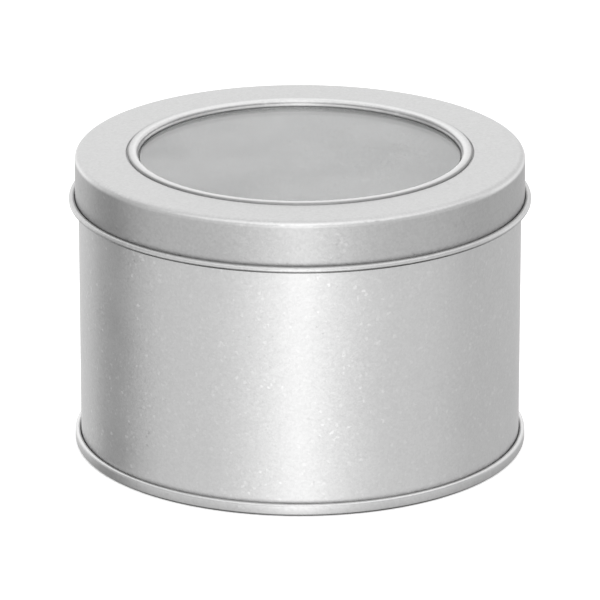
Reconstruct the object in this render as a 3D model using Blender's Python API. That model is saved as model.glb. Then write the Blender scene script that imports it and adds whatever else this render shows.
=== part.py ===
"""Round candle tin with a slip lid and a clear window, empty, standing closed on its base.

Metres, +Z up. The origin is on the tin's axis, in the plane that the base stands on.
Every tinplate piece is a sheet bent from straight runs and arcs and turned about Z.
The lid's pieces hang from an empty in the plane of the lid's flat top, on the axis it lifts along.
"""

import math

import bmesh
import bpy
from mathutils import Vector

# Driving dimensions, in millimetres.
BODY_RADIUS = 40.0  # outside of the rolled wall
LID_PLANE = 54.7  # the lid's flat top, above the plane that the tin stands on
SHEET = 0.25  # tinplate
WINDOW_RADIUS = 29.3  # clear opening in the lid
SKIRT_DEPTH = 8.6  # from the lid's flat top to the middle of its curl
SEAM_HEIGHT = 2.2  # bottom seam, from the standing plane to its top
SEAM_RADIUS = 41.05  # outside of the bottom seam

# Clearances.
TOUCH_GAP = 0.3  # between pieces that touch
SLIP_GAP = 0.33  # between the wall and the skirt that slides over it
SEAM_GAP = 0.1  # between the folded layers of the bottom seam

# Lid.
HEM_RISE = 0.25  # the window's raised rim, above the flat top
NECK_DEPTH = 1.2  # from the flat top to the underside of the seat that holds the pane
LIP_HEIGHT = 0.25  # foot of the neck, that leans in over the pane
LIP_LEAN = 25.0  # in degrees
SEAT_RADIUS = 30.9  # outer edge of that seat
HEM_BEND = 0.45
HEM_FLAT = 0.85
GROOVE_BEND = 0.2
GROOVE_FALL, GROOVE_RISE = 80.0, 75.0  # slopes of the groove round the rim, in degrees
SHOULDER_BEND = 1.075
CURL_LEAD_BEND = 0.6  # first turn of the lid's curl, wider than the rest
CURL_BEND = 0.465
CURL_LEAD_TURN, CURL_TURN = 148.4, 156.0  # in degrees

# Window.
PANE_RADIUS = 37.0
PANE_THICKNESS = 0.35
RING_OPENING = 30.4

# Body and base.
MOUTH_BEND = 0.45
MOUTH_TURN = 270.0
FOLD = 0.25  # tight bends
HOOK_LENGTH = 0.5  # the wall's hook inside the bottom seam
COVER_HOOK_LENGTH = 0.85  # the base's hook, folded down behind it
SEAM_CORNER = 0.4
PANEL_HEIGHT = 2.6  # underside of the base's rim band
PANEL_CORNER = 0.5
PANEL_STEP_RADIUS = 32.0
PANEL_STEP_RISE = 0.35  # the middle of the base stands this much higher
PANEL_STEP_TURN = 40.0

# Fineness of the mesh.
SEGMENTS = 60
CHORD_ERROR = 0.05
MERGE = 1e-7
SHARP_ANGLE = 35.0

MM = 0.001


class Strip:
    """The middle line of a bent sheet in the (radius, height) half-plane, with its heading at each point."""

    def __init__(self, radius, height, heading):
        self.points = [(radius, height)]
        self.headings = [math.radians(heading)]

    def step(self, radius, height, heading):
        self.points.append((radius, height))
        self.headings.append(heading)

    def run_to_radius(self, radius):
        """Straight on until the sheet is this far from the axis."""
        here, heading = self.points[-1], self.headings[-1]
        self.step(radius, here[1] + (radius - here[0]) * math.tan(heading), heading)

    def run_to_height(self, height):
        """Straight on until the sheet is this high."""
        here, heading = self.points[-1], self.headings[-1]
        self.step(here[0] + (height - here[1]) / math.tan(heading), height, heading)

    def bend(self, radius, turn):
        """An arc through turn degrees, to the left where turn is positive."""
        outer = radius + SHEET / 2
        widest = 2 * math.acos(1 - CHORD_ERROR / outer)
        steps = max(2, math.ceil(abs(math.radians(turn)) / widest))
        side = math.copysign(1, turn)
        start, first = self.points[-1], self.headings[-1]
        centre = (
            start[0] - side * radius * math.sin(first),
            start[1] + side * radius * math.cos(first),
        )
        for i in range(1, steps + 1):
            heading = first + math.radians(turn) * i / steps
            across = centre[0] + side * radius * math.sin(heading)
            up = centre[1] - side * radius * math.cos(heading)
            self.step(across, up, heading)

    def outline(self):
        """Both faces of the sheet, as one closed loop."""
        half = SHEET / 2
        left, right = [], []
        for (radius, height), heading in zip(self.points, self.headings):
            across, up = -half * math.sin(heading), half * math.cos(heading)
            left.append((radius + across, height + up))
            right.append((radius - across, height - up))
        return left + right[::-1]


def turned(name, outline, material, parent):
    """One closed body from an outline in millimetres, turned about Z."""
    mesh = bpy.data.meshes.new(name)
    body = bmesh.new()
    verts = [body.verts.new((radius * MM, 0, height * MM)) for radius, height in outline]
    edges = [body.edges.new((a, b)) for a, b in zip(verts, verts[1:] + verts[:1])]
    bmesh.ops.spin(
        body,
        geom=verts + edges,
        cent=Vector(),
        axis=Vector((0, 0, 1)),
        angle=math.tau,
        steps=SEGMENTS,
        use_merge=True,
    )
    bmesh.ops.remove_doubles(body, verts=body.verts, dist=MERGE)
    if body.calc_volume(signed=True) < 0:
        bmesh.ops.reverse_faces(body, faces=body.faces)
    body.to_mesh(mesh)
    body.free()
    mesh.shade_smooth()
    mesh.set_sharp_from_angle(angle=math.radians(SHARP_ANGLE))
    mesh.materials.append(material)
    piece = bpy.data.objects.new(name, mesh)
    bpy.context.scene.collection.objects.link(piece)
    piece.parent = parent
    return piece


def plain_material(name, colour, roughness, metallic):
    """A Principled material of one colour; a fourth number in colour is its opacity."""
    material = bpy.data.materials.new(name)
    material.use_nodes = True
    shader = material.node_tree.nodes["Principled BSDF"]
    shader.inputs["Base Color"].default_value = (*colour[:3], 1)
    shader.inputs["Roughness"].default_value = roughness
    shader.inputs["Metallic"].default_value = metallic
    if len(colour) == 4:
        shader.inputs["Alpha"].default_value = colour[3]
    return material


def empty(name, height):
    """A parent on the tin's axis."""
    parent = bpy.data.objects.new(name, None)
    parent.location = (0, 0, height * MM)
    bpy.context.scene.collection.objects.link(parent)
    return parent


def body_wall_outline():
    """Rolled wall: mouth curled inwards, foot hooked outwards and up into the bottom seam."""
    wall = BODY_RADIUS - SHEET / 2
    cover = SEAM_RADIUS - 2 * SHEET - SEAM_GAP  # inside of the base's outermost layer
    hook = cover + SHEET / 2
    turn_radius = (hook - wall) / 2
    turn_height = SHEET * 1.5 + SEAM_GAP + turn_radius
    mouth = LID_PLANE - SHEET - TOUCH_GAP - SHEET / 2 - MOUTH_BEND
    strip = Strip(hook, turn_height + HOOK_LENGTH, -90)
    strip.run_to_height(turn_height)
    strip.bend(turn_radius, -180)
    strip.run_to_height(mouth)
    strip.bend(MOUTH_BEND, MOUTH_TURN)
    return strip.outline()


def base_plate_outline():
    """Pressed base: stepped panel, wall down inside the body, and rim folded round the body's hook."""
    middle = PANEL_HEIGHT + PANEL_STEP_RISE + SHEET / 2
    inner_wall = BODY_RADIUS - SHEET - SEAM_GAP - SHEET / 2
    outer_wall = SEAM_RADIUS - SHEET / 2
    cover_hook = BODY_RADIUS + SEAM_GAP + SHEET / 2
    fold = (outer_wall - cover_hook) / 2
    strip = Strip(0, middle, 0)
    strip.run_to_radius(PANEL_STEP_RADIUS)
    strip.bend(FOLD, -PANEL_STEP_TURN)
    bend_drop = FOLD * (1 - math.cos(math.radians(PANEL_STEP_TURN)))
    strip.run_to_height(PANEL_HEIGHT + SHEET / 2 + bend_drop)
    strip.bend(FOLD, PANEL_STEP_TURN)
    strip.run_to_radius(inner_wall - PANEL_CORNER)
    strip.bend(PANEL_CORNER, -90)
    strip.run_to_height(SHEET / 2 + SEAM_CORNER)
    strip.bend(SEAM_CORNER, 90)
    strip.run_to_radius(outer_wall - SEAM_CORNER)
    strip.bend(SEAM_CORNER, 90)
    strip.run_to_height(SEAM_HEIGHT - SHEET / 2 - fold)
    strip.bend(fold, 180)
    strip.run_to_height(SEAM_HEIGHT - SHEET / 2 - fold - COVER_HOOK_LENGTH)
    return strip.outline()


def seam_compound_outline():
    """Sealing ring in the pocket between the tip of the body's hook and the fold over it."""
    inner = BODY_RADIUS + 2 * SEAM_GAP + SHEET
    outer = SEAM_RADIUS - SHEET - SEAM_GAP
    hook_turn = (outer - SHEET / 2 - (BODY_RADIUS - SHEET / 2)) / 2
    hook_tip = SHEET * 1.5 + SEAM_GAP + hook_turn + HOOK_LENGTH
    bottom, top = hook_tip + SEAM_GAP, SEAM_HEIGHT - SHEET - SEAM_GAP
    return [(inner, bottom), (outer, bottom), (outer, top), (inner, top)]


def lid_shell_outline():
    """Pressed lid, from the seat under the window, over the rim and the shoulder, to the skirt's curl."""
    neck = WINDOW_RADIUS + SHEET / 2
    skirt = BODY_RADIUS + SLIP_GAP + SHEET / 2
    top, rim = -SHEET / 2, HEM_RISE - SHEET / 2
    strip = Strip(SEAT_RADIUS, SHEET / 2 - NECK_DEPTH, 180)
    lean = math.radians(LIP_LEAN)
    strip.run_to_radius(neck - LIP_HEIGHT * math.tan(lean) - FOLD * (1 - 2 * math.cos(lean)))
    strip.bend(FOLD, -90 - LIP_LEAN)
    strip.run_to_height(strip.points[-1][1] + LIP_HEIGHT)
    strip.bend(FOLD, LIP_LEAN)
    strip.run_to_height(rim - HEM_BEND)
    strip.bend(HEM_BEND, -90)
    strip.run_to_radius(neck + HEM_BEND + HEM_FLAT)
    strip.bend(GROOVE_BEND, -GROOVE_FALL)
    fall_drop = GROOVE_BEND * (1 - math.cos(math.radians(GROOVE_FALL)))
    rise = 2 * GROOVE_BEND * (1 - math.cos(math.radians(GROOVE_RISE)))
    strip.run_to_height(top - rise + fall_drop)
    strip.bend(GROOVE_BEND, GROOVE_FALL + GROOVE_RISE)
    strip.bend(GROOVE_BEND, -GROOVE_RISE)
    strip.run_to_radius(skirt - SHOULDER_BEND)
    strip.bend(SHOULDER_BEND, -90)
    lead_rise = (CURL_LEAD_BEND - CURL_BEND) * math.sin(math.radians(180 - CURL_LEAD_TURN))
    strip.run_to_height(lead_rise - SKIRT_DEPTH)
    strip.bend(CURL_LEAD_BEND, CURL_LEAD_TURN)
    strip.bend(CURL_BEND, CURL_TURN)
    return strip.outline()


def window_pane_outline():
    """Flat clear disc, below the seat."""
    top = -NECK_DEPTH - TOUCH_GAP
    bottom = top - PANE_THICKNESS
    return [(0, bottom), (PANE_RADIUS, bottom), (PANE_RADIUS, top), (0, top)]


def window_retaining_ring_outline():
    """Flat ring under the pane, its outer edge turned up against the underside of the lid."""
    ring = -NECK_DEPTH - 2 * TOUCH_GAP - PANE_THICKNESS - SHEET / 2
    rim = PANE_RADIUS + TOUCH_GAP + FOLD + SHEET / 2
    strip = Strip(RING_OPENING, ring, 0)
    strip.run_to_radius(rim - FOLD)
    strip.bend(FOLD, 90)
    strip.run_to_height(-SHEET - TOUCH_GAP)
    return strip.outline()


def build():
    for old in list(bpy.data.objects):
        bpy.data.objects.remove(old)
    tinplate = plain_material("satin_tinplate", (0.72, 0.72, 0.73), 0.32, 1.0)
    bare_tin = plain_material("bright_tinplate", (0.78, 0.78, 0.79), 0.25, 1.0)
    compound = plain_material("grey_compound", (0.3, 0.31, 0.32), 0.7, 0.0)
    clear = plain_material("clear_plastic", (0.95, 0.96, 0.97, 0.25), 0.05, 0.0)
    can = empty("can", 0)
    lid = empty("lid", LID_PLANE)
    turned("body_wall", body_wall_outline(), tinplate, can)
    turned("base_plate", base_plate_outline(), tinplate, can)
    turned("seam_compound", seam_compound_outline(), compound, can)
    turned("lid_shell", lid_shell_outline(), tinplate, lid)
    turned("window_pane", window_pane_outline(), clear, lid)
    turned("window_retaining_ring", window_retaining_ring_outline(), bare_tin, lid)


build()
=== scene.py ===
"""Looks of a round candle tin with a slip lid and a clear window, standing closed on a pale floor.

Every tinplate piece is a sheet bent from straight runs and arcs, turned about the tin's axis with fine
steps, in the place of the coarser CAD solid. Outlines are in millimetres in the (radius, height)
half-plane and take their places from the CAD boxes. Azimuths are measured from the front, -Y.
"""

import math

import bpy
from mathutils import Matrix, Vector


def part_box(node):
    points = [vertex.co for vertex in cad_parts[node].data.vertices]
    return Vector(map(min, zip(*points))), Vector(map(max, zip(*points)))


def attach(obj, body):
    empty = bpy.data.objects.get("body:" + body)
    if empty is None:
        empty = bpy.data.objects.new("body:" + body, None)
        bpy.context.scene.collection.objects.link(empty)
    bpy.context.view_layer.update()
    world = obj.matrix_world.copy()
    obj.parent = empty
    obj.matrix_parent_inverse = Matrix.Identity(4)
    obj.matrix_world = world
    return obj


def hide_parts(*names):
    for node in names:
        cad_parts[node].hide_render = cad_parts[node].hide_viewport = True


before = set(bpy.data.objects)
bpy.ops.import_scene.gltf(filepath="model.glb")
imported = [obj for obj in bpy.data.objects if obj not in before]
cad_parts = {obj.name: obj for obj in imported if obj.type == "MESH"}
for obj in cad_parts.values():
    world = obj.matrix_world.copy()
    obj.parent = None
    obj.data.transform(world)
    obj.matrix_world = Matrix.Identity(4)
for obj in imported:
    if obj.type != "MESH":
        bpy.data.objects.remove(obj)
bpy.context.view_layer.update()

MM = 0.001

# Sizes that the CAD boxes don't give, in millimetres.
SHEET = 0.25  # tinplate
SEAM_PROUD = 1.05  # the bottom seam, beyond the wall
SEAM_GAP = 0.1  # between the seam's folded layers
SEAM_HEIGHT = 2.2
SEAM_CORNER = 0.4
HOOK_LENGTH = 0.5
COVER_HOOK_LENGTH = 0.85
FOLD = 0.25
MOUTH_BEND = 0.45
MOUTH_TURN = 290.0
PANEL_CORNER = 0.5
PANEL_STEP_RADIUS = 32.0
PANEL_STEP_RISE = 0.35
PANEL_STEP_TURN = 40.0
SLIP_GAP = 0.33  # between the wall and the lid's skirt
WINDOW_RADIUS = 29.3
NECK_DEPTH = 1.2
LIP_HEIGHT = 0.25
LIP_LEAN = 25.0
SEAT_RADIUS = 30.9
FILM = 0.35
RING_OPENING = 30.4
CLOSE_GAP = 0.02  # between the pieces that grip the film
FILM_RISE = 0.28  # the film's middle, formed up into the neck
FILM_STEP_RADIUS = 28.85
HEM_RISE = 0.25
HEM_BEND = 0.45
HEM_FLAT = 0.85
GROOVE_BEND = 0.2
GROOVE_FALL, GROOVE_RISE = 80.0, 75.0
SHOULDER_BEND = 1.075
CURL_LEAD_BEND = 0.6
CURL_BEND = 0.465
CURL_LEAD_TURN, CURL_TURN = 148.4, 172.0
CURL_DEPTH = 8.6  # middle of the lid's curl, below the flat top

# The wall's welded side seam, at the right and a little behind.
WELD_AZIMUTH = 112.0
WELD_HALF_WIDTH = 0.45
WELD_SOFT_EDGE = 0.18
WELD_LIFT = 0.07
WELD_SPAN = 1.2  # half the stretch with fine steps
WELD_STEPS = 30

# Fineness of the meshes.
SEGMENTS = 288
CHORD_ERROR = 0.003
HOLD = 0.05  # support rings this far from each bend keep flat stretches flat
SHARP_ANGLE = 35.0


def low_mm(node):
    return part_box(node)[0] / MM


def high_mm(node):
    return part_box(node)[1] / MM


seam_radius = high_mm("base_plate").x
base_top = high_mm("base_plate").z
mouth_top = high_mm("body_wall").z
curl_radius = high_mm("lid_shell").x
lid_plane = high_mm("lid_shell").z - HEM_RISE
body_radius = seam_radius - SEAM_PROUD
seat_underside = lid_plane - NECK_DEPTH


class Strip:
    """The middle line of a bent sheet in the (radius, height) half-plane, with its heading at each point."""

    def __init__(self, radius, height, heading):
        self.points = [(radius, height)]
        self.headings = [math.radians(heading)]

    def step(self, radius, height, heading):
        self.points.append((radius, height))
        self.headings.append(heading)

    def run(self, length):
        """Straight on, with a support point near each end."""
        (radius, height), heading = self.points[-1], self.headings[-1]
        stops = [HOLD, length - HOLD, length] if length > 3 * HOLD else [length]
        for stop in stops:
            self.step(radius + stop * math.cos(heading), height + stop * math.sin(heading), heading)

    def run_to_radius(self, radius):
        self.run((radius - self.points[-1][0]) / math.cos(self.headings[-1]))

    def run_to_height(self, height):
        self.run((height - self.points[-1][1]) / math.sin(self.headings[-1]))

    def bend(self, radius, turn):
        """An arc through turn degrees, to the left where turn is positive."""
        widest = 2 * math.acos(1 - CHORD_ERROR / (radius + SHEET / 2))
        steps = math.ceil(abs(math.radians(turn)) / widest)
        side = math.copysign(1, turn)
        (across, up), first = self.points[-1], self.headings[-1]
        middle_across = across - side * radius * math.sin(first)
        middle_up = up + side * radius * math.cos(first)
        for i in range(1, steps + 1):
            heading = first + math.radians(turn) * i / steps
            self.step(
                middle_across + side * radius * math.sin(heading),
                middle_up - side * radius * math.cos(heading),
                heading,
            )

    def outline(self):
        """Both faces of the sheet as one loop of (radius, height, and the face's normal)."""
        left, right = [], []
        for (radius, height), heading in zip(self.points, self.headings):
            across, up = -math.sin(heading), math.cos(heading)
            half = SHEET / 2
            left.append((radius + half * across, height + half * up, across, up))
            right.append((radius - half * across, height - half * up, -across, -up))
        return left + right[::-1]


def smooth_step(value, low, high):
    t = min(1.0, max(0.0, (value - low) / (high - low)))
    return t * t * (3 - 2 * t)


def ridge(value, low, middle, high):
    """1 at the middle, falling smoothly to 0 at low and at high."""
    return smooth_step(value, low, middle) * (1 - smooth_step(value, middle, high))


def even_azimuths():
    return [math.tau * i / SEGMENTS for i in range(SEGMENTS)]


def weld_azimuths(radius):
    """Even steps, with fine ones across the weld in place of those there."""
    weld = math.radians(WELD_AZIMUTH)
    span = WELD_SPAN / radius
    coarse = [a for a in even_azimuths() if abs(a - weld) > span]
    fine = [weld + span * (2 * i / WELD_STEPS - 1) for i in range(WELD_STEPS + 1)]
    return sorted(coarse + fine)


def weld_lift(azimuth, radius):
    """How far each face of the wall stands out over the lapped weld."""
    arc = abs(azimuth - math.radians(WELD_AZIMUTH)) * radius
    inner = WELD_HALF_WIDTH - WELD_SOFT_EDGE
    return WELD_LIFT * (1 - smooth_step(arc, inner, WELD_HALF_WIDTH))


def counter_clockwise(outline):
    """The outline in the order that makes its faces look outwards."""
    pairs = zip(outline, outline[1:] + outline[:1])
    area = sum(a[0] * b[1] - b[0] * a[1] for a, b in pairs)
    return outline if area > 0 else outline[::-1]


def around(outline, azimuths, lift):
    """An outline's points turned about Z, and for each of them its ring of point numbers."""
    points, rings = [], []
    for radius, height, across, up in outline:
        if radius < HOLD / 2:
            rings.append([len(points)] * len(azimuths))
            points.append((0, 0, height * MM))
            continue
        rings.append(list(range(len(points), len(points) + len(azimuths))))
        for azimuth in azimuths:
            out = lift(azimuth, radius) if lift else 0
            r = (radius + out * across) * MM
            z = (height + out * up) * MM
            points.append((r * math.sin(azimuth), -r * math.cos(azimuth), z))
    return points, rings


def skin(rings):
    """Faces from each ring to the next, and from the last to the first."""
    faces = []
    for first, second in zip(rings, rings[1:] + rings[:1]):
        for i in range(len(first)):
            j = (i + 1) % len(first)
            corners = list(dict.fromkeys([first[i], first[j], second[j], second[i]]))
            if len(corners) > 2:
                faces.append(corners)
    return faces


def turned(name, outline, material, azimuths=None, lift=None, painted_light_and_wear=None):
    """One closed body from an outline turned about Z.

    lift says how far the surface stands out along its normal at an azimuth and radius.
    painted_light_and_wear says at a radius and height how far painted highlights, and real wear in some
    places, brighten the surface, from 0 to 1, or how far painted shade darkens it, below 0.
    """
    points, rings = around(counter_clockwise(outline), azimuths or even_azimuths(), lift)
    mesh = bpy.data.meshes.new(name)
    mesh.from_pydata(points, [], skin(rings))
    mesh.shade_smooth()
    mesh.set_sharp_from_angle(angle=math.radians(SHARP_ANGLE))
    light_and_wear_layer = mesh.attributes.new("painted_light_and_wear", "FLOAT", "POINT")
    if painted_light_and_wear:
        light_and_wear_layer.data.foreach_set(
            "value", [painted_light_and_wear(math.hypot(x, y) / MM, z / MM) for x, y, z in points]
        )
    mesh.materials.append(material)
    piece = bpy.data.objects.new(name, mesh)
    bpy.context.scene.collection.objects.link(piece)
    return piece


def belongs(piece, body, slot, *nodes):
    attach(piece, body)
    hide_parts(*nodes)


# Materials.

WALL_TONE = 0.58
LID_TONE = 0.455
COATING_ROUGHNESS = 0.40
EDGE_TINT = 0.88  # reflectance near grazing, against a bare metal's
TONE_CELLS_PER_METRE = 2600.0
CELL_TONE = 0.04  # spread of tone from flake to flake
CLOUDS_PER_METRE = 90.0
CLOUD_TONE, CLOUD_ROUGHNESS = 0.05, 0.12
GRAINS_PER_METRE = 1400.0
FLAKES_PER_METRE = 3600.0
FLAKE_TILT = 0.06
GLINT_CELLS_PER_METRE = 2000.0
GLINTS_FROM = 0.93  # the share of cells without a glint
GLINT_TILT = 0.17
GLINT_TONE = 0.03  # on the wall
FILM_MIRROR, FILM_MIRROR_EDGE_ON = 0.03, 0.66  # share mirrored face on, and added edge on
FILM_SMEAR = (0.03, 0.08)  # roughness
FILM_HAZE = (0.08, 0.12)

# What the full painted light and wear mask adds to the tone as painted highlight, and to the glints' tilt,
# and takes from the roughness.
PAINTED_LIGHT_AND_WEAR_TONE = 0.22
PAINTED_LIGHT_AND_WEAR_TILT = 0.05
PAINTED_LIGHT_AND_WEAR_SMOOTHING = 0.10

# Painted highlight of each place, real wear over the mouth, and painted shade in the groove round the
# window, which takes the painted light away.
MOUTH_BURNISH = 0.5
SEAM_HIGHLIGHT = 0.55
NECK_HIGHLIGHT = 0.5
SHOULDER_HIGHLIGHT = 0.8
CURL_HIGHLIGHT = 0.7
GROOVE_SHADE = 0.8

# Where each starts and is full, and for a band also where it ends, in millimetres.
MOUTH_FADE = (-0.7, 0.0)  # above the mouth
SEAM_FADE = (-1.0, -0.3)  # above the bottom seam
SEAM_SIDE_FADE = (0.0, 0.3)  # beyond the wall
NECK_FADE = (0.6, 1.2)  # beyond the window
SHOULDER_SIDE_FADE = (-0.8, -0.2)  # beyond the wall
SHOULDER_BAND = (0.15, 0.7, 1.3)  # below the lid's flat top
CURL_BAND = (-0.5, -0.15, 0.3)  # below the curl's middle
CURL_SIDE = 0.3  # in from the curl's outermost line
GROOVE_BAND = (-0.05, 0.2, 0.5)  # beyond the rim's flat

# The weld's marks, in metres to each side of its middle: where each starts to fade and where it ends.
BARE_STRIPE = (0.0021, 0.0024)
SCORCH = (0.0003, 0.0007)
WANDER = 0.0006
BARE_TONE, BARE_SMOOTHING = 0.12, 0.12
SCORCH_TONE, SCORCH_ROUGHNESS = 0.25, 0.15

NOISE_RANGE = (0.3, 0.7)  # nearly all of a noise lies in this


class Tree:
    """Short calls that build a material's or a world's nodes."""

    def __init__(self, owner):
        owner.use_nodes = True
        self.tree = owner.node_tree
        self.tree.nodes.clear()

    def add(self, kind, inputs=None, **settings):
        """A node, with its settings, and its inputs as numbers or as sockets to link."""
        node = self.tree.nodes.new(kind)
        for name, value in settings.items():
            setattr(node, name, value)
        for key, value in (inputs or {}).items():
            if isinstance(value, bpy.types.NodeSocket):
                self.tree.links.new(value, node.inputs[key])
            else:
                node.inputs[key].default_value = value
        return node

    def maths(self, operation, *values):
        return self.add("ShaderNodeMath", dict(enumerate(values)), operation=operation).outputs[0]

    def vector(self, operation, *values):
        return self.add("ShaderNodeVectorMath", dict(enumerate(values)), operation=operation).outputs[0]

    def dot(self, value, direction):
        inputs = {0: value, 1: direction}
        return self.add("ShaderNodeVectorMath", inputs, operation="DOT_PRODUCT").outputs["Value"]

    def scaled(self, value, by):
        return self.add("ShaderNodeVectorMath", {0: value, "Scale": by}, operation="SCALE").outputs[0]

    def spread(self, value, low, high, to_low=0.0, to_high=1.0):
        """value from low to high, as a smooth step from to_low to to_high."""
        inputs = {"Value": value, "From Min": low, "From Max": high, "To Min": to_low, "To Max": to_high}
        return self.add("ShaderNodeMapRange", inputs, interpolation_type="SMOOTHSTEP").outputs[0]

    def noise(self, place, scale, detail=2.0):
        inputs = {"Vector": place, "Scale": scale, "Detail": detail}
        return self.add("ShaderNodeTexNoise", inputs).outputs["Fac"]

    def drawn_out(self, noise, low, high):
        """A noise as a value from low to high."""
        return self.spread(noise, *NOISE_RANGE, low, high)

    def swung(self, value, noise, by):
        """value, moved up or down by a noise's distance from one half, times by."""
        return self.maths("ADD", value, self.maths("MULTIPLY", self.maths("SUBTRACT", noise, 0.5), by))

    def cells(self, place, scale):
        """A random colour for each cell of this many to the metre."""
        inputs = {"Vector": place, "Scale": scale}
        return self.add("ShaderNodeTexVoronoi", inputs, feature="F1").outputs["Color"]

    def grey(self, value):
        return self.add("ShaderNodeCombineColor", {0: value, 1: value, 2: value}).outputs[0]

    def object_place(self):
        return self.add("ShaderNodeTexCoord").outputs["Object"]

    def finish(self, shader, kind="ShaderNodeOutputMaterial"):
        self.add(kind, {"Surface": shader})


def flecks(tree, place, painted_light_and_wear):
    """A coating full of metal flakes: normals that lie a little askew, and where a bright flake shows."""
    normal = tree.add("ShaderNodeNewGeometry").outputs["Normal"]
    flake = tree.vector("SUBTRACT", tree.cells(place, FLAKES_PER_METRE), (0.5, 0.5, 0.5))
    normal = tree.vector("ADD", normal, tree.scaled(flake, FLAKE_TILT))
    cell = tree.cells(place, GLINT_CELLS_PER_METRE)
    pick = tree.add("ShaderNodeTexWhiteNoise", {"Vector": cell}).outputs["Value"]
    glint = tree.maths("GREATER_THAN", pick, GLINTS_FROM)
    tilt = tree.maths("MULTIPLY", glint, tree.maths("MULTIPLY_ADD", painted_light_and_wear, PAINTED_LIGHT_AND_WEAR_TILT, GLINT_TILT))
    askew = tree.scaled(tree.vector("SUBTRACT", cell, (0.5, 0.5, 0.5)), tilt)
    return tree.vector("NORMALIZE", tree.vector("ADD", normal, askew)), glint


def satin_tinplate(name, tone, roughness, welded=False):
    """Silver metallic coating on tinplate: satin, with flakes, brighter with painted highlights and real
    wear, and darker with painted shade, where the painted light and wear mask says so.
    """
    material = bpy.data.materials.new(name)
    tree = Tree(material)
    place = tree.object_place()
    painted_light_and_wear = tree.add("ShaderNodeAttribute", attribute_name="painted_light_and_wear").outputs["Fac"]
    cell = tree.add("ShaderNodeSeparateColor", {0: tree.cells(place, TONE_CELLS_PER_METRE)}).outputs[0]
    cloud = tree.noise(place, CLOUDS_PER_METRE, detail=4.0)
    value = tree.swung(tree.swung(tone, cell, CELL_TONE), cloud, CLOUD_TONE)
    # Painted light: the mask's painted highlights and painted shade, added to the coating's tone.
    value = tree.maths("ADD", value, tree.maths("MULTIPLY", painted_light_and_wear, PAINTED_LIGHT_AND_WEAR_TONE))
    normal, glint = flecks(tree, place, painted_light_and_wear)
    rough = tree.swung(roughness, cloud, CLOUD_ROUGHNESS)
    rough = tree.maths("SUBTRACT", rough, tree.maths("MULTIPLY", painted_light_and_wear, PAINTED_LIGHT_AND_WEAR_SMOOTHING))
    if welded:
        value = tree.maths("MULTIPLY_ADD", glint, GLINT_TONE, value)
        value, rough = weld_margin(tree, place, value, rough)
    grain = tree.add(
        "ShaderNodeBump",
        {
            "Strength": 0.06,
            "Distance": 0.00003,
            "Height": tree.noise(place, GRAINS_PER_METRE, detail=3.0),
            "Normal": normal,
        },
    ).outputs[0]
    shader = tree.add(
        "ShaderNodeBsdfPrincipled",
        {
            "Base Color": tree.grey(value),
            "Metallic": 1.0,
            "Roughness": rough,
            "Specular Tint": (EDGE_TINT, EDGE_TINT, EDGE_TINT, 1.0),
            "Normal": grain,
        },
    )
    tree.finish(shader.outputs[0])
    return material


def weld_margin(tree, place, value, rough):
    """The bare stripe that the coating leaves on both sides of the weld, and the weld's own scorch."""
    weld = math.radians(WELD_AZIMUTH)
    along = tree.dot(place, (math.cos(weld), math.sin(weld), 0))
    outwards = tree.dot(place, (math.sin(weld), -math.cos(weld), 0))
    away = tree.maths("ABSOLUTE", tree.swung(along, tree.noise(place, 260.0), WANDER))
    here = tree.maths("GREATER_THAN", outwards, 0.0)
    bare = tree.maths("MULTIPLY", here, tree.spread(away, *BARE_STRIPE, 1.0, 0.0))
    scorch = tree.maths("MULTIPLY", here, tree.spread(away, *SCORCH, 1.0, 0.0))
    value = tree.maths("ADD", value, tree.maths("MULTIPLY", bare, BARE_TONE))
    value = tree.maths("SUBTRACT", value, tree.maths("MULTIPLY", scorch, SCORCH_TONE))
    rough = tree.maths("SUBTRACT", rough, tree.maths("MULTIPLY", bare, BARE_SMOOTHING))
    return value, tree.maths("ADD", rough, tree.maths("MULTIPLY", scorch, SCORCH_ROUGHNESS))


def bright_tinplate(name):
    """Uncoated tinplate, with the fine drawn lines that rolling leaves."""
    material = bpy.data.materials.new(name)
    tree = Tree(material)
    place = tree.object_place()
    stretched = tree.add("ShaderNodeMapping", {"Vector": place, "Scale": (1.0, 14.0, 1.0)}).outputs[0]
    lines = tree.noise(stretched, 900.0, detail=3.0)
    bump = tree.add("ShaderNodeBump", {"Strength": 0.15, "Distance": 0.00002, "Height": lines}).outputs[0]
    inputs = {
        "Base Color": tree.grey(tree.drawn_out(lines, 0.68, 0.76)),
        "Metallic": 1.0,
        "Roughness": tree.drawn_out(lines, 0.22, 0.34),
        "Normal": bump,
    }
    tree.finish(tree.add("ShaderNodeBsdfPrincipled", inputs).outputs[0])
    return material


def clear_film(name):
    """Clear plastic sheet with a fine haze: its two glossy faces mirror more at a low angle."""
    material = bpy.data.materials.new(name)
    tree = Tree(material)
    place = tree.object_place()
    facing = tree.add("ShaderNodeLayerWeight", {"Blend": 0.5}).outputs["Facing"]
    edge_on = tree.maths("POWER", facing, 5.0)
    mirrored = tree.maths("MULTIPLY_ADD", edge_on, FILM_MIRROR_EDGE_ON, FILM_MIRROR)
    smear = tree.drawn_out(tree.noise(place, 70.0), *FILM_SMEAR)
    gloss = tree.add("ShaderNodeBsdfGlossy", {"Roughness": smear})
    through = tree.add("ShaderNodeBsdfTransparent", {"Color": (0.985, 0.99, 0.99, 1.0)})
    haze = tree.add("ShaderNodeBsdfDiffuse", {"Color": (0.9, 0.9, 0.9, 1.0)})
    hazy = tree.drawn_out(tree.noise(place, 60.0, detail=3.0), *FILM_HAZE)
    body = tree.add("ShaderNodeMixShader", {0: hazy, 1: through.outputs[0], 2: haze.outputs[0]})
    mixed = tree.add("ShaderNodeMixShader", {0: mirrored, 1: body.outputs[0], 2: gloss.outputs[0]})
    tree.finish(mixed.outputs[0])
    return material


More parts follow.
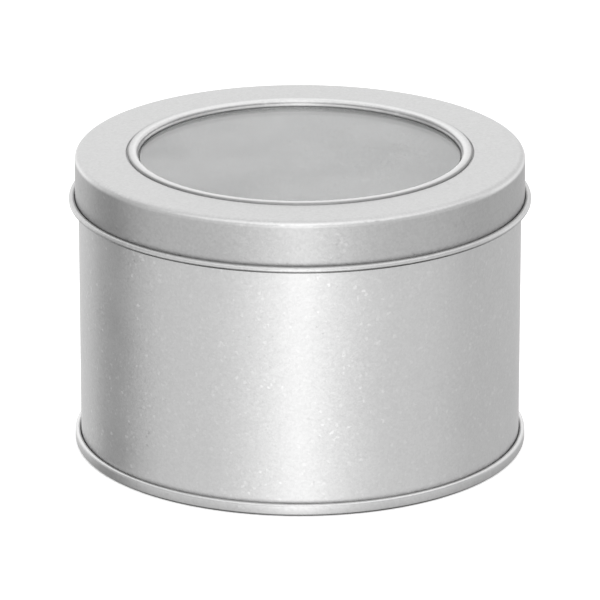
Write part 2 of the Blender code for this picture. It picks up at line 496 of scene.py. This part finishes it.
def sealing_compound(name):
    """Grey rubbery lining compound."""
    material = bpy.data.materials.new(name)
    tree = Tree(material)
    clumps = tree.noise(tree.object_place(), 1500.0, detail=4.0)
    bump = tree.add("ShaderNodeBump", {"Strength": 0.4, "Distance": 0.00005, "Height": clumps}).outputs[0]
    inputs = {
        "Base Color": tree.grey(tree.drawn_out(clumps, 0.2, 0.32)),
        "Roughness": tree.drawn_out(clumps, 0.55, 0.8),
        "Normal": bump,
    }
    tree.finish(tree.add("ShaderNodeBsdfPrincipled", inputs).outputs[0])
    return material


# The tin.


def wall_light_and_wear(radius, height):
    """Brighter on the uncoated inside, partly the bare tinplate's own shine and partly painted light for the
    dim inside, and worn bright over the mouth.
    """
    inside = 1 - smooth_step(radius, body_radius - SHEET, body_radius - SHEET / 2)
    return max(inside, MOUTH_BURNISH * smooth_step(height - mouth_top, *MOUTH_FADE))


def tin_wall():
    """Rolled wall with a lapped weld: mouth curled inwards, foot hooked into the bottom seam."""
    wall = body_radius - SHEET / 2
    hook = seam_radius - 1.5 * SHEET - SEAM_GAP
    turn_radius = (hook - wall) / 2
    turn_height = SHEET * 1.5 + SEAM_GAP + turn_radius
    strip = Strip(hook, turn_height + HOOK_LENGTH, -90)
    strip.run_to_height(turn_height)
    strip.bend(turn_radius, -180)
    strip.run_to_height(mouth_top - SHEET / 2 - MOUTH_BEND)
    strip.bend(MOUTH_BEND, MOUTH_TURN)
    piece = turned(
        "tin_wall",
        strip.outline(),
        satin_tinplate("wall_coating", WALL_TONE, COATING_ROUGHNESS, welded=True),
        azimuths=weld_azimuths(body_radius),
        lift=weld_lift,
        painted_light_and_wear=wall_light_and_wear,
    )
    belongs(piece, "can", "satin_tinplate", "body_wall")


def seam_painted_highlight(radius, height):
    """Painted highlight over the top fold of the bottom seam."""
    outside = smooth_step(radius - body_radius, *SEAM_SIDE_FADE)
    return SEAM_HIGHLIGHT * outside * smooth_step(height - SEAM_HEIGHT, *SEAM_FADE)


def tin_base():
    """Pressed base: stepped panel, wall down inside the body, and rim folded round the wall's hook."""
    panel = base_top - SHEET / 2
    band = panel - PANEL_STEP_RISE
    inner_wall = body_radius - SHEET * 1.5 - SEAM_GAP
    outer_wall = seam_radius - SHEET / 2
    fold = (outer_wall - body_radius - SEAM_GAP - SHEET / 2) / 2
    fold_height = SEAM_HEIGHT - SHEET / 2 - fold
    strip = Strip(0, panel, 0)
    strip.run_to_radius(PANEL_STEP_RADIUS)
    strip.bend(FOLD, -PANEL_STEP_TURN)
    strip.run_to_height(band + FOLD * (1 - math.cos(math.radians(PANEL_STEP_TURN))))
    strip.bend(FOLD, PANEL_STEP_TURN)
    strip.run_to_radius(inner_wall - PANEL_CORNER)
    strip.bend(PANEL_CORNER, -90)
    strip.run_to_height(SHEET / 2 + SEAM_CORNER)
    strip.bend(SEAM_CORNER, 90)
    strip.run_to_radius(outer_wall - SEAM_CORNER)
    strip.bend(SEAM_CORNER, 90)
    strip.run_to_height(fold_height)
    strip.bend(fold, 180)
    strip.run_to_height(fold_height - COVER_HOOK_LENGTH)
    piece = turned(
        "tin_base",
        strip.outline(),
        satin_tinplate("base_coating", LID_TONE, COATING_ROUGHNESS),
        painted_light_and_wear=seam_painted_highlight,
    )
    belongs(piece, "can", "satin_tinplate", "base_plate")


def seam_seal():
    """Sealing ring inside the bottom seam."""
    low, high = low_mm("seam_compound"), high_mm("seam_compound")
    outer, inner = high.x, body_radius + 2 * SEAM_GAP + SHEET
    outline = [(inner, low.z, -1, 0), (outer, low.z, 1, 0), (outer, high.z, 1, 0), (inner, high.z, -1, 0)]
    piece = turned("seam_seal", outline, sealing_compound("lining_compound"))
    belongs(piece, "can", "sealing_compound", "seam_compound")


def lid_painted_light(radius, height):
    """Painted highlights on the neck, shoulder and curl, and painted shade in the groove."""
    drop = lid_plane - height
    neck = 1 - smooth_step(radius - WINDOW_RADIUS, *NECK_FADE)
    groove_start = WINDOW_RADIUS + SHEET / 2 + HEM_BEND + HEM_FLAT
    groove = ridge(radius - groove_start, *GROOVE_BAND)
    outside = smooth_step(radius - body_radius, *SHOULDER_SIDE_FADE)
    shoulder = outside * ridge(drop, *SHOULDER_BAND)
    curl = 0
    if radius > curl_radius - CURL_SIDE:
        curl = ridge(drop - CURL_DEPTH, *CURL_BAND)
    # Painted highlights on the neck, shoulder and curl.
    brightest = max(NECK_HIGHLIGHT * neck, SHOULDER_HIGHLIGHT * shoulder, CURL_HIGHLIGHT * curl)
    # Painted shade in the groove round the window.
    return brightest - GROOVE_SHADE * groove


def lid_pressing():
    """Lid, from the seat under the window, over the rim and the shoulder, to the skirt's curl."""
    neck = WINDOW_RADIUS + SHEET / 2
    skirt = body_radius + SLIP_GAP + SHEET / 2
    top = lid_plane - SHEET / 2
    rim = top + HEM_RISE
    strip = Strip(SEAT_RADIUS, lid_plane - NECK_DEPTH + SHEET / 2, 180)
    lean = math.radians(LIP_LEAN)
    strip.run_to_radius(neck - LIP_HEIGHT * math.tan(lean) - FOLD * (1 - 2 * math.cos(lean)))
    strip.bend(FOLD, -90 - LIP_LEAN)
    strip.run_to_height(strip.points[-1][1] + LIP_HEIGHT)
    strip.bend(FOLD, LIP_LEAN)
    strip.run_to_height(rim - HEM_BEND)
    strip.bend(HEM_BEND, -90)
    strip.run_to_radius(neck + HEM_BEND + HEM_FLAT)
    strip.bend(GROOVE_BEND, -GROOVE_FALL)
    fall_drop = GROOVE_BEND * (1 - math.cos(math.radians(GROOVE_FALL)))
    rise = 2 * GROOVE_BEND * (1 - math.cos(math.radians(GROOVE_RISE)))
    strip.run_to_height(top - rise + fall_drop)
    strip.bend(GROOVE_BEND, GROOVE_FALL + GROOVE_RISE)
    strip.bend(GROOVE_BEND, -GROOVE_RISE)
    strip.run_to_radius(skirt - SHOULDER_BEND)
    strip.bend(SHOULDER_BEND, -90)
    lead_rise = (CURL_LEAD_BEND - CURL_BEND) * math.sin(math.radians(CURL_LEAD_TURN))
    strip.run_to_height(lid_plane - CURL_DEPTH + lead_rise)
    strip.bend(CURL_LEAD_BEND, CURL_LEAD_TURN)
    strip.bend(CURL_BEND, CURL_TURN)
    piece = turned(
        "lid_pressing",
        strip.outline(),
        satin_tinplate("lid_coating", LID_TONE, COATING_ROUGHNESS),
        painted_light_and_wear=lid_painted_light,
    )
    belongs(piece, "lid", "satin_tinplate", "lid_shell")


def window_film():
    """Clear disc under the lid, its middle formed up a little to fill the foot of the neck."""
    radius = high_mm("window_pane").x
    top = seat_underside - CLOSE_GAP
    bottom = top - FILM
    foot = FILM_STEP_RADIUS + FILM_RISE / 2
    slope = math.hypot(FILM_RISE, FILM_RISE / 2)
    across, up = FILM_RISE / slope, FILM_RISE / 2 / slope
    outline = [
        (0, bottom + FILM_RISE, 0, -1),
        (FILM_STEP_RADIUS, bottom + FILM_RISE, -across, -up),
        (foot, bottom, -across, -up),
        (radius, bottom, 1, 0),
        (radius, top, 1, 0),
        (foot, top, across, up),
        (FILM_STEP_RADIUS, top + FILM_RISE, across, up),
        (0, top + FILM_RISE, 0, 1),
    ]
    piece = turned("window_film", outline, clear_film("clear_sheet"))
    belongs(piece, "lid", "clear_plastic", "window_pane")


def window_clamp_ring():
    """Flat ring that clamps the film from below, with an upturned edge."""
    high = high_mm("window_retaining_ring")
    flat = seat_underside - FILM - 2 * CLOSE_GAP - SHEET / 2
    strip = Strip(RING_OPENING, flat, 0)
    strip.run_to_radius(high.x - SHEET / 2 - FOLD)
    strip.bend(FOLD, 90)
    strip.run_to_height(high.z)
    piece = turned("window_clamp_ring", strip.outline(), bright_tinplate("bare_tinplate"))
    belongs(piece, "lid", "bright_tinplate", "window_retaining_ring")


# Stage, light and camera.

FLOOR_RADIUS = 4.0
FLOOR_DROP = 0.00002
CAMERA_DISTANCE = 0.9736  # from the tin's axis, level with the ground
CAMERA_RISE = 0.3148  # above the lid's flat top
CAMERA_TILT = 19.43
CAMERA_LENS = 340.9

ROOM_LIGHT = 1.02
DARKEST = 0.03
# Panels of the light tent round the tin: middle azimuth, half-width, lowest and highest elevation,
# softness of the edges, all in degrees, and how much brighter or darker than the room they are.
PANELS = {
    "front_strip": (0, 2, -90, 90, 6, 1.3),
    "front_glow": (0, 15, -90, 5, 25, 0.45),
    "top_box": (20, 85, 42, 90, 14, 0.5),
    "front_gap": (0, 90, 2, 25, 12, -0.25),
    "left_gap": (-112, 6, -90, 30, 22, -0.76),
    "right_gap": (125, 25, -90, 30, 30, -0.3),
    "backdrop": (180, 60, 5, 60, 30, 0.56),
    "table_shadow": (0, 180, -90, -50, 15, -0.95),
}


def floor():
    """Plain pale table, lit a little from below. The tin mirrors the light tent in its place."""
    points = [(0, 0, -FLOOR_DROP)]
    for azimuth in even_azimuths():
        points.append((FLOOR_RADIUS * math.sin(azimuth), -FLOOR_RADIUS * math.cos(azimuth), -FLOOR_DROP))
    faces = [(0, 1 + i, 1 + (i + 1) % SEGMENTS) for i in range(SEGMENTS)]
    mesh = bpy.data.meshes.new("floor")
    mesh.from_pydata(points, [], faces)
    material = bpy.data.materials.new("pale_ground")
    tree = Tree(material)
    inputs = {
        "Base Color": (0.85, 0.85, 0.85, 1.0),
        "Roughness": 1.0,
        "Specular IOR Level": 0.0,
        "Emission Color": (1.0, 1.0, 1.0, 1.0),
        "Emission Strength": 0.3,
    }
    tree.finish(tree.add("ShaderNodeBsdfPrincipled", inputs).outputs[0])
    mesh.materials.append(material)
    ground = bpy.data.objects.new("floor", mesh)
    ground.visible_glossy = False
    ground.visible_shadow = False
    bpy.context.scene.collection.objects.link(ground)


def studio_world():
    """Soft light from all round, with brighter and darker panels."""
    world = bpy.data.worlds.new("studio")
    tree = Tree(world)
    split = tree.add("ShaderNodeSeparateXYZ", {0: tree.add("ShaderNodeTexCoord").outputs["Generated"]})
    x, y, z = (split.outputs[axis] for axis in "XYZ")
    azimuth = tree.maths("ARCTAN2", x, tree.maths("MULTIPLY", y, -1.0))
    elevation = tree.maths("ARCSINE", z)
    light = ROOM_LIGHT
    for middle, half_width, low, high, soft, strength in PANELS.values():
        turn = tree.maths("SUBTRACT", azimuth, math.radians(middle))
        away = tree.maths("ABSOLUTE", tree.maths("WRAP", turn, math.pi, -math.pi))
        near, far = math.radians(half_width), math.radians(half_width + soft)
        across = tree.spread(away, near, far, 1.0, 0.0) if half_width < 180 else 1.0
        above = tree.spread(elevation, math.radians(low - soft), math.radians(low))
        below = tree.spread(elevation, math.radians(high), math.radians(high + soft), 1.0, 0.0)
        share = tree.maths("MULTIPLY", tree.maths("MULTIPLY", above, below), across)
        light = tree.maths("MULTIPLY_ADD", share, strength, light)
    light = tree.maths("MAXIMUM", light, DARKEST)
    background = tree.add("ShaderNodeBackground", {"Color": (1, 1, 1, 1), "Strength": light})
    tree.finish(background.outputs[0], kind="ShaderNodeOutputWorld")
    bpy.context.scene.world = world


def camera():
    """Looks down at the tin through a long lens."""
    lens = bpy.data.cameras.new("camera")
    lens.lens = CAMERA_LENS
    lens.clip_start, lens.clip_end = 0.05, 20.0
    holder = bpy.data.objects.new("camera", lens)
    holder.location = (0, -CAMERA_DISTANCE, lid_plane * MM + CAMERA_RISE)
    holder.rotation_euler = (math.radians(90 - CAMERA_TILT), 0, 0)
    bpy.context.scene.collection.objects.link(holder)
    bpy.context.scene.camera = holder


tin_wall()
tin_base()
seam_seal()
lid_pressing()
window_film()
window_clamp_ring()
floor()
studio_world()
camera()
bpy.context.scene.view_settings.view_transform = "Standard"
